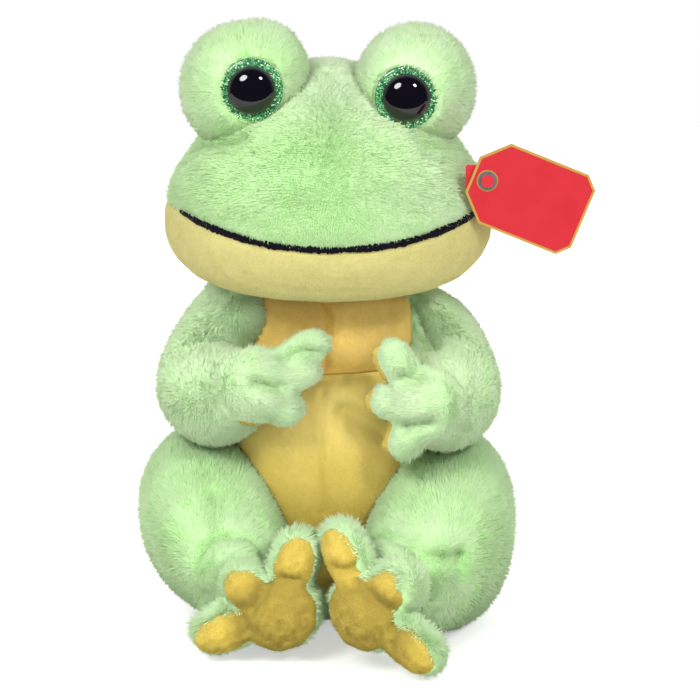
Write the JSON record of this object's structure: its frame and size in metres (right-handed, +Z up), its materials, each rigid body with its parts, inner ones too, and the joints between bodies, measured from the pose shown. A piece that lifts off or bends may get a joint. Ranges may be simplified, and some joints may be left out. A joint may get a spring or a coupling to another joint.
{
  "type": "plush toy frog",
  "caption": "Sitting plush frog with a wide stitched mouth, domed glitter-ringed eyes, fingered paws and a blank swing tag.",
  "frame": {"origin": "on the flat under the seat, below the neck", "axes": "+Z up, the frog faces -Y, +X is the viewer's right"},
  "size_m": [0.1152, 0.103, 0.1554],
  "materials": {
    "pile_green": "short pile plush",
    "pile_yellow": "short pile plush",
    "pile_amber": "short pile plush",
    "thread_black": "satin stitched thread",
    "glitter_green": "glitter under clear plastic",
    "plastic_black": "polished",
    "washer_steel": "pressed steel",
    "bag_cloth": "plain woven cotton",
    "card_red": "coated card",
    "plastic_red": "moulded, smooth",
    "eyelet_metal": "plated"
  },
  "bodies": {
    "body": {"body_back": "pile_green", "chest_panel": "pile_amber", "belly_panel": "pile_amber", "pellet_bag": "bag_cloth"},
    "head": {"head_upper": "pile_green", "head_jaw": "pile_yellow", "mouth_thread": "thread_black", "tag_fastener": "plastic_red", "eye_mound_left": "pile_green", "eye_disc_left": "glitter_green", "eye_pupil_left": "plastic_black", "eye_washer_left": "washer_steel", "eye_mound_right": "pile_green", "eye_disc_right": "glitter_green", "eye_pupil_right": "plastic_black", "eye_washer_right": "washer_steel"},
    "tag": {"tag_card": "card_red", "tag_eyelet": "eyelet_metal"},
    "arm_left": {"arm_left": "pile_green", "hand_left": "pile_green", "palm_left": "pile_yellow"},
    "leg_left": {"leg_left": "pile_green", "foot_left": "pile_green", "sole_left": "pile_yellow"},
    "arm_right": {"arm_right": "pile_green", "hand_right": "pile_green", "palm_right": "pile_yellow"},
    "leg_right": {"leg_right": "pile_green", "foot_right": "pile_green", "sole_right": "pile_yellow"}
  },
  "joints": [
    {"name": "head_turn", "type": "hinge", "parent": "body", "child": "head", "pos_m": [0, 0.002, 0.0883], "axis": [0, 0, 1], "range_deg": [-10, 10], "stiffness_Nm_per_rad": 0.3},
    {"name": "tag_swing", "type": "hinge", "parent": "head", "child": "tag", "pos_m": [0.04021, -0.03196, 0.11966], "axis": [-0.0262, 0.9997, 0], "range_deg": [-60, 0]},
    {"name": "arm_left_open", "type": "hinge", "parent": "body", "child": "arm_left", "pos_m": [-0.0215, 0.012, 0.069], "axis": [0, 0, -1], "range_deg": [0, 35], "stiffness_Nm_per_rad": 0.2},
    {"name": "leg_left_splay", "type": "hinge", "parent": "body", "child": "leg_left", "pos_m": [-0.0215, 0.0215, 0.0262], "axis": [0, 0, -1], "range_deg": [0, 25], "stiffness_Nm_per_rad": 0.3},
    {"name": "arm_right_open", "type": "hinge", "parent": "body", "child": "arm_right", "pos_m": [0.0215, 0.012, 0.069], "axis": [0, 0, 1], "range_deg": [0, 35], "stiffness_Nm_per_rad": 0.2},
    {"name": "leg_right_splay", "type": "hinge", "parent": "body", "child": "leg_right", "pos_m": [0.0215, 0.0215, 0.0262], "axis": [0, 0, 1], "range_deg": [0, 25], "stiffness_Nm_per_rad": 0.3}
  ]
}
